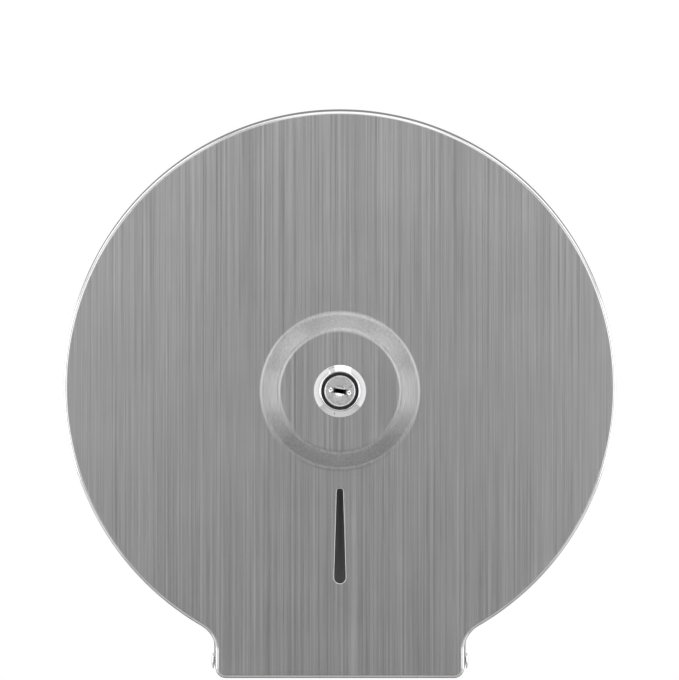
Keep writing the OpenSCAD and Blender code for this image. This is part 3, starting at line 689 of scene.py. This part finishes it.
def block(name, place, size, turn_y=0.0):
    """A box, used as a cutter; turn_y turns it clockwise as seen from the front."""
    bpy.ops.object.select_all(action="DESELECT")
    bpy.ops.mesh.primitive_cube_add(size=1, location=place, rotation=(0, turn_y, 0), scale=size)
    obj = bpy.context.active_object
    obj.name = name
    return obj


def cut(obj, *cutters):
    """Takes each cutter's solid out of a mesh, and deletes the cutter."""
    for cutter in cutters:
        apply(obj, "BOOLEAN", object=cutter, operation="DIFFERENCE", solver="EXACT")
        bpy.data.objects.remove(cutter)


print("cutting tools ready")

# %% Swing corners and pin holes
SWING_R = 7 * MM
OUTSIDE = ((2, 0), (2, -2), (0, -2), (0, -1))       # in swing radii from the pins' axis

corner_cut = begin("corner_cutter", (-CUT_HALF, PIN_Y, PIN_Z - SWING_R))
arc_about((-CUT_HALF, PIN_Y, PIN_Z), 90, 24, (1, 0, 0))
for y, z in OUTSIDE:
    line_to(corner_cut, (-CUT_HALF, PIN_Y + y * SWING_R, PIN_Z + z * SWING_R))
merge_near()
bpy.ops.mesh.edge_face_add()
bpy.ops.mesh.extrude_region_move(TRANSFORM_OT_translate={"value": (2 * CUT_HALF, 0, 0)})
bpy.ops.mesh.select_all(action="SELECT")
bpy.ops.mesh.normals_make_consistent(inside=False)
bpy.ops.object.mode_set(mode="OBJECT")
bpy.ops.mesh.primitive_cylinder_add(vertices=48, radius=PIN_R, depth=2 * CUT_HALF,
                                    location=(0, PIN_Y, PIN_Z), rotation=(0, math.pi / 2, 0))
pin_cut = bpy.context.active_object
print("cutters for the corners and the pins")

# %% Bottom corners
TRIM = 0.35 * MM             # the exit is this much narrower at each side than the spout's inside
TRIM_Z, TRIM_TALL = -144 * MM, 11 * MM
half_front, half_rear = (SPOUT_HALF - SHEET - TRIM + grown(y) for y in (LIP_Y, 0))

exit_cut = block("exit_cutter", (0, LIP_Y / 2, TRIM_Z), (2 * half_front, -LIP_Y, TRIM_TALL))
bpy.ops.object.transform_apply()
bpy.ops.object.mode_set(mode="EDIT")
select(exit_cut, "VERT", lambda v: v.co.y > -NEAR)
bpy.ops.transform.resize(value=(half_rear / half_front, 1, 1), center_override=(0, 0, 0))
bpy.ops.object.mode_set(mode="OBJECT")
cut(cover, exit_cut, corner_cut, pin_cut)
print("cover:", len(cover.data.polygons), "faces,", [round(v / MM, 2) for v in cover.dimensions])

# %% [markdown]
# A piece is finished the same way each time: smooth shading up to an angle, its material, and
# then the body it rides on, while the imported parts it stands for are hidden. On most pieces
# weighted normals let the large flat faces
# keep their own direction, so that only the narrow bends beside them are shaded as round. On the
# cover they would draw bright lines along the boss's bends. Its flat faces are shaded flat
# instead, and its bends stay smooth.

# %% Finish a piece
def only(obj):
    """Selects one object alone and makes it the active one."""
    bpy.ops.object.select_all(action="DESELECT")
    obj.select_set(True)
    bpy.context.view_layer.objects.active = obj


def finish(obj, body, slot_name, material, *replaced, angle=30, weighted=True):
    """Gives a piece its shading and material, attaches it to its body, and hides the parts it
    stands for.
    """
    only(obj)
    bpy.ops.object.shade_smooth_by_angle(angle=math.radians(angle))
    if weighted:
        apply(obj, "WEIGHTED_NORMAL", keep_sharp=True)
    obj.data.materials.clear()
    obj.data.materials.append(material)
    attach(obj, body)
    if replaced:
        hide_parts(*replaced)


print("finish ready")

# %% Cover finish
BREAK = 0.12 * MM            # width of the broken edges
FLAT_FACING = 0.9999         # a face that looks this straight forwards or back is flat
# The bends picked here get the rim steel's painted highlight; those that look down keep the brushed
# colour.
BEND_FACING = (0.55, 0.97)   # how far a polished bend looks forwards
LEAST_UP = -0.6              # bends that look further down than this stay brushed
CLEAR_OF_BOSS = 4 * MM

apply(cover, "BEVEL", width=BREAK, segments=1, limit_method="ANGLE",
      angle_limit=math.radians(60))
finish(cover, "cover", "brushed_cover", cover_steel, "front_cover", weighted=False)
cover.data.materials.append(rim_steel_painted_highlight)
count = 0
for face in cover.data.polygons:
    if abs(face.normal.y) > FLAT_FACING:
        face.use_smooth = False
    from_boss = math.hypot(face.center.x, face.center.z - AXIS_Z) - BOSS_FOOT_R
    bend = BEND_FACING[0] < -face.normal.y < BEND_FACING[1] and face.center.y < WALL_FRONT
    if bend and from_boss > CLEAR_OF_BOSS and face.normal.z > LEAST_UP:
        face.material_index = 1
        count += 1
print("cover: rides on the cover body;", count, "polished faces")

# %% [markdown]
# ## Lock
#
# A cam lock is a turned zinc barrel with a chrome flange, whose face slopes up to the plug and
# swells a little, so that it catches light in a broad band. A groove runs round the plug, which
# is satin nickel with a bright rim; the groove's dark colour is painted shade. Turned parts are
# drawn as half a section and spun, as on a lathe. The barrel's thread is drawn as plain rings,
# since it is hidden by the nut except for a few turns, and two flats are pressed on its sides.

# %% Turned shapes
def spun(name, points, centre, axis, segments):
    """Draws a profile through points and spins it once round an axis."""
    obj = begin(name, points[0])
    for point in points[1:]:
        line_to(obj, point)
    bpy.ops.mesh.select_all(action="SELECT")
    arc_about(centre, 360, segments, axis)
    merge_near(2 * NEAR)
    bpy.ops.mesh.normals_make_consistent(inside=False)
    bpy.ops.object.mode_set(mode="OBJECT")
    return obj


def turned(name, profile):
    """Spins a profile of radius and y in millimetres round the lock's axis."""
    points = [(r * MM, y * MM, AXIS_Z) for r, y in profile]
    return spun(name, points, (0, 0, AXIS_Z), (0, 1, 0), 128)


print("lathe ready")

# %% Lock barrel
FLANGE_R, FLANGE_EDGE, FLANGE_TOP, FLANGE_BACK = 12.8, -118.25, -120.2, -118.0
CONE_OUT, CONE_IN, CONE_STEPS = 12.5, 9.7, 8      # the flange's sloping face
CONE_FOOT, CONE_SWELL = FLANGE_EDGE - 0.15, 0.25
GROOVE_R, GROOVE_FLOOR, BORE_R = 9.15, -118.4, 7.68
BARREL_R, BARREL_END, THREAD_PITCH, THREAD_DEEP = 9.5, -100.6, 1.0, 0.35
FLAT_X = 8.3 * MM            # half the width across the pressed flats

profile = [(BORE_R, BARREL_END), (BARREL_R - THREAD_DEEP, BARREL_END)]
y = BARREL_END - 0.4
while y > FLANGE_BACK + 1.5 * THREAD_PITCH:
    profile += [(BARREL_R, y), (BARREL_R, y - 0.1),
                (BARREL_R - THREAD_DEEP, y - 0.5), (BARREL_R - THREAD_DEEP, y - 0.6)]
    y -= THREAD_PITCH
profile += [(BARREL_R, FLANGE_BACK + 0.6), (BARREL_R, FLANGE_BACK), (FLANGE_R - 0.1, FLANGE_BACK),
            (FLANGE_R, FLANGE_BACK - 0.1), (FLANGE_R - 0.05, FLANGE_EDGE)]
for i in range(CONE_STEPS + 1):
    t = i / CONE_STEPS
    rise = (FLANGE_TOP - CONE_FOOT) * t * (1 + CONE_SWELL - CONE_SWELL * t)
    profile.append((CONE_OUT + (CONE_IN - CONE_OUT) * t, CONE_FOOT + rise))
profile += [(GROOVE_R + 0.25, FLANGE_TOP), (GROOVE_R + 0.08, FLANGE_TOP + 0.08),
            (GROOVE_R, FLANGE_TOP + 0.3), (GROOVE_R, GROOVE_FLOOR), (BORE_R, GROOVE_FLOOR),
            (BORE_R, BARREL_END)]
barrel = turned("lock_barrel_turned", profile)
bpy.ops.object.mode_set(mode="EDIT")
for side in (-1, 1):
    select(barrel, "VERT", lambda v: v.co.x * side > FLAT_X and v.co.y > FLANGE_BACK * MM - NEAR
           and math.hypot(v.co.x, v.co.z - AXIS_Z) < (BARREL_R + 0.1) * MM)
    bpy.ops.transform.resize(value=(0, 1, 1), center_override=(side * FLAT_X, 0, 0))
bpy.ops.object.mode_set(mode="OBJECT")
print("barrel:", len(barrel.data.polygons), "faces")

# %% Barrel finish
NOTCH_ANGLE = math.radians(-103.5)
NOTCH_R, NOTCH_Y = 12.3 * MM, -119.6 * MM
NOTCH_SIZE = (3 * MM, 1.2 * MM, 0.35 * MM)
notch_place = (NOTCH_R * math.cos(NOTCH_ANGLE), NOTCH_Y, AXIS_Z + NOTCH_R * math.sin(NOTCH_ANGLE))
cut(barrel, block("notch_cutter", notch_place, NOTCH_SIZE, -NOTCH_ANGLE))
finish(barrel, "cover", "lock_chrome", chrome, "lock_barrel", angle=35)
barrel.data.materials.append(painted_shade_dark_metal)
# The groove's walls and floor get the near-black metal: painted shade in the groove.
for face in barrel.data.polygons:
    r = math.hypot(face.center.x, face.center.z - AXIS_Z) / MM
    if BORE_R - 0.1 < r < GROOVE_R + 0.05 and FLANGE_TOP + 0.35 < face.center.y / MM < -110:
        face.material_index = 1
print("barrel: groove is dark")

# %% [markdown]
# The plug's face is sunk a little inside a raised rim. A key guide is pressed into it: a slot
# with round ends that opens into a round middle, with bright sloping sides, and the keyhole in
# its floor. The guide and the keyhole are tilted, because the plug rests a little past level.
# The keyhole's dark colour is painted shade, a near-black metal on its walls.

# %% Lock plug
RIM_TOP, PLUG_FACE, PLUG_R = -119.9, -119.72, 7.6
TAIL_W, TAIL_REAR = 5 * MM, -94.1 * MM
TAIL_FRONT = BARREL_END * MM - 0.5 * MM           # the tail starts a little inside the plug

plug = turned("lock_plug_turned", [
    (0, PLUG_FACE), (6.9, PLUG_FACE), (7.05, PLUG_FACE), (7.14, PLUG_FACE - 0.04),
    (7.24, RIM_TOP), (7.36, RIM_TOP), (7.52, RIM_TOP + 0.1), (PLUG_R, RIM_TOP + 0.3),
    (PLUG_R, BARREL_END - 0.2), (PLUG_R - 0.2, BARREL_END), (0, BARREL_END)])
tail = block("tail", (0, (TAIL_FRONT + TAIL_REAR) / 2, AXIS_Z),
             (TAIL_W, TAIL_REAR - TAIL_FRONT, TAIL_W))
apply(plug, "BOOLEAN", object=tail, operation="UNION", solver="EXACT")
bpy.data.objects.remove(tail)
print("plug with its tail:", len(plug.data.polygons), "faces")

# %% Key guide
KEY_TILT = math.radians(9)
GUIDE_LEN, GUIDE_W, GUIDE_R, GUIDE_DEEP = 8.2 * MM, 2.7 * MM, 2.7 * MM, 1.3 * MM
GUIDE_TAPER = (0.75, 1, 0.12)                     # size of its floor against its mouth
face_y = PLUG_FACE * MM


def along_y(name, radius, y0, y1, x=0.0):
    """A cylinder along Y at the lock's height, used as a cutter."""
    bpy.ops.object.select_all(action="DESELECT")
    bpy.ops.mesh.primitive_cylinder_add(vertices=64, radius=radius, depth=abs(y1 - y0),
                                        location=(x, (y0 + y1) / 2, AXIS_Z),
                                        rotation=(math.pi / 2, 0, 0))
    obj = bpy.context.active_object
    obj.name = name
    return obj


guide = block("guide_cutter", (0, face_y + GUIDE_DEEP / 2, AXIS_Z),
              (GUIDE_LEN, GUIDE_DEEP, GUIDE_W))
for x, radius in ((-GUIDE_LEN / 2, GUIDE_W / 2), (GUIDE_LEN / 2, GUIDE_W / 2), (0, GUIDE_R)):
    disc = along_y("disc_cutter", radius, face_y, face_y + GUIDE_DEEP, x)
    apply(guide, "BOOLEAN", object=disc, operation="UNION", solver="EXACT")
    bpy.data.objects.remove(disc)
only(guide)
bpy.ops.object.transform_apply()
bpy.ops.object.mode_set(mode="EDIT")
select(guide, "VERT", lambda v: v.co.y > face_y + GUIDE_DEEP / 2)
bpy.ops.transform.resize(value=GUIDE_TAPER, center_override=(0, 0, AXIS_Z))
select(guide, "VERT", lambda v: True)
bpy.ops.transform.rotate(value=-KEY_TILT, orient_axis="Y", center_override=(0, 0, AXIS_Z))
select(guide, "VERT", lambda v: v.co.y < face_y + GUIDE_DEEP / 2)
bpy.ops.mesh.extrude_context_move(TRANSFORM_OT_translate={"value": (0, -MM, 0)})
bpy.ops.object.mode_set(mode="OBJECT")
print("guide:", [round(v / MM, 2) for v in guide.dimensions])

# %% Keyhole, screw hole and wafer slots
KEY_W, KEY_H, KEY_DEEP = 5.9 * MM, 2.2 * MM, 16 * MM
SCREW_R, SCREW_DEEP = 2.05 * MM, 9 * MM
WAFER_Y0, WAFER_PITCH, WAFER_T = -116.95, 2.8, 1.1
WAFER_W, WAFER_TALL = 5.5 * MM, 18 * MM

keyhole = block("key_cutter", (0, face_y + KEY_DEEP / 2, AXIS_Z), (KEY_W, KEY_DEEP, KEY_H),
                KEY_TILT)
screw_hole = along_y("screw_cutter", SCREW_R, TAIL_REAR - SCREW_DEEP, TAIL_REAR + 1 * MM)
slots = [block("wafer_cutter", (0, (WAFER_Y0 + i * WAFER_PITCH + WAFER_T / 2) * MM, AXIS_Z),
               (WAFER_W, WAFER_T * MM, WAFER_TALL), KEY_TILT) for i in range(4)]
cut(plug, guide, keyhole, screw_hole, *slots)
print("plug:", len(plug.data.polygons), "faces")

# %% Plug finish
RIM_INSIDE = 7.1 * MM
GUIDE_REACH = 6 * MM         # guide and keyhole lie within this radius
KEY_END = -103.5 * MM        # just behind the keyhole's floor

finish(plug, "lock", "lock_satin", satin_nickel, "lock_plug", angle=35)
for extra in (chrome, painted_shade_dark_metal):
    plug.data.materials.append(extra)
for face in plug.data.polygons:
    r = math.hypot(face.center.x, face.center.z - AXIS_Z)
    if r < GUIDE_REACH and face_y + 0.01 * MM < face.center.y < KEY_END:
        # Faces deep in the keyhole get the near-black metal, which is painted shade; the guide's
        # sides get chrome.
        deep = face.center.y > face_y + GUIDE_DEEP + 0.01 * MM
        face.material_index = 2 if deep else 1
    if face.center.y < face_y + 0.01 * MM and r > RIM_INSIDE:
        face.material_index = 1
print("plug: guide is bright, keyhole is dark")

# %% [markdown]
# ## Hinge pins
#
# Each pin is a rivet: a low domed head outside the cover, a shank through cover, washer and
# bracket, and a tail headed over inside. One is spun about the hinge's axis and copied to the
# other side.

# %% Hinge pins
HEAD_X, HEAD_H, HEAD_R, HEAD_EDGE = 62.3, 1.1, 4.0, 0.15
TAIL_X, EAR_X = 57.61, 58.81
DOME_STEPS, DOME_ARC = 8, math.radians(80)

section = [(TAIL_X, 0), (TAIL_X, 2.6), (TAIL_X + 0.35, 3.1), (EAR_X, 3.2), (EAR_X, 2.0),
           (HEAD_X, 2.0), (HEAD_X, HEAD_R - 0.15), (HEAD_X + HEAD_EDGE, HEAD_R)]
for i in range(1, DOME_STEPS + 1):
    a = DOME_ARC * i / DOME_STEPS
    section.append((HEAD_X + HEAD_EDGE + (HEAD_H - HEAD_EDGE) * math.sin(a) / math.sin(DOME_ARC),
                    HEAD_R * math.cos(a) if i < DOME_STEPS else 0))
pin = spun("hinge_pin_right_turned", [(x * MM, PIN_Y, PIN_Z + r * MM) for x, r in section],
           (0, PIN_Y, PIN_Z), (1, 0, 0), 64)
pin_left = pin.copy()
pin_left.data = pin.data.copy()
pin_left.name = pin_left.data.name = "hinge_pin_left_turned"
bpy.context.scene.collection.objects.link(pin_left)
only(pin_left)
pin_left.scale = (-1, 1, 1)
bpy.ops.object.transform_apply(location=False, rotation=False, scale=True)
bpy.ops.object.mode_set(mode="EDIT")
bpy.ops.mesh.select_all(action="SELECT")
bpy.ops.mesh.normals_make_consistent(inside=False)
bpy.ops.object.mode_set(mode="OBJECT")
finish(pin, "back", "rivet_steel", rivet_steel, "hinge_pin_right", angle=35)
finish(pin_left, "back", "rivet_steel", rivet_steel, "hinge_pin_left", angle=35)
print("pins:", round(pin.dimensions.x / MM, 2), "mm long")

# %% [markdown]
# ## Parts inside
#
# The rest have the right shape as packed, but their edges are perfectly sharp, and a sharp edge
# catches no light. Each is copied, its triangles are joined into whole faces, and a small bevel
# rounds its edges. Its body and its place stay what the imported part says.

# %% Soften the edges of imported parts
SLOT_OF = {part["node"]: part["material_slot"] for part in frame["record"]["subparts"]}
BODY_OF = {node: body for body, members in frame["record"]["behaviour"]["bodies"].items()
           for node in members}
SAME_PLANE = math.radians(0.5)
SHARP = 35                   # degrees; an edge that turns more than this is rounded


def softened(name, width, material):
    """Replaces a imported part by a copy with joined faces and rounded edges."""
    mesh = nodes[name].data.copy()
    piece = bpy.data.objects.new(name + "_soft", mesh)
    mesh.name = piece.name
    bpy.context.scene.collection.objects.link(piece)
    only(piece)
    bpy.ops.object.mode_set(mode="EDIT")
    merge_near()
    bpy.ops.mesh.dissolve_limited(angle_limit=SAME_PLANE)
    bpy.ops.object.mode_set(mode="OBJECT")
    apply(piece, "BEVEL", width=width * MM, segments=2, limit_method="ANGLE",
          angle_limit=math.radians(SHARP), use_clamp_overlap=True)
    finish(piece, BODY_OF[name], SLOT_OF[name], material, name, angle=SHARP)
    return piece


SOFT_EDGES = {               # the bevel's width in millimetres, and the material
    "back_plate": (0.15, plate_steel), "spindle_post": (0.2, plate_steel),
    "hinge_bracket_left": (0.2, bracket_steel), "hinge_bracket_right": (0.2, bracket_steel),
    "tear_bar_left": (0.1, bracket_steel), "tear_bar_right": (0.1, bracket_steel),
    "strike_plate": (0.2, bracket_steel),
    "bracket_rivets": (0.08, rivet_steel), "tear_bar_rivets": (0.08, rivet_steel),
    "post_rivets": (0.08, rivet_steel),
    "roller_spacer": (0.25, white_nylon), "front_washer": (0.2, white_nylon),
    "hinge_washer_left": (0.1, white_nylon), "hinge_washer_right": (0.1, white_nylon),
    "retaining_ring": (0.12, spring_steel), "lock_washer": (0.1, spring_steel),
    "cam_washer": (0.1, spring_steel),
    "core_roller": (0.3, grey_plastic), "roll_guide": (0.3, grey_plastic),
    "lock_nut": (0.3, zinc_steel), "lock_cam": (0.2, zinc_steel), "cam_screw": (0.15, zinc_steel),
    "lock_wafers": (0.06, wafer_brass),
}
for name, (width, material) in SOFT_EDGES.items():
    piece = softened(name, width, material)
    print(name, len(piece.data.polygons))

# %% [markdown]
# ## Sizes
#
# The imported model's box and the finished model's box are printed, to see that nothing grew.

# %% Sizes
boxes = {"cad": [list(corner) for corner in cad_box],
         "visual": [list(corner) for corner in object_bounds()]}
for name, box in boxes.items():
    print(name, "box in mm:", [[round(v / MM, 2) for v in corner] for corner in box])
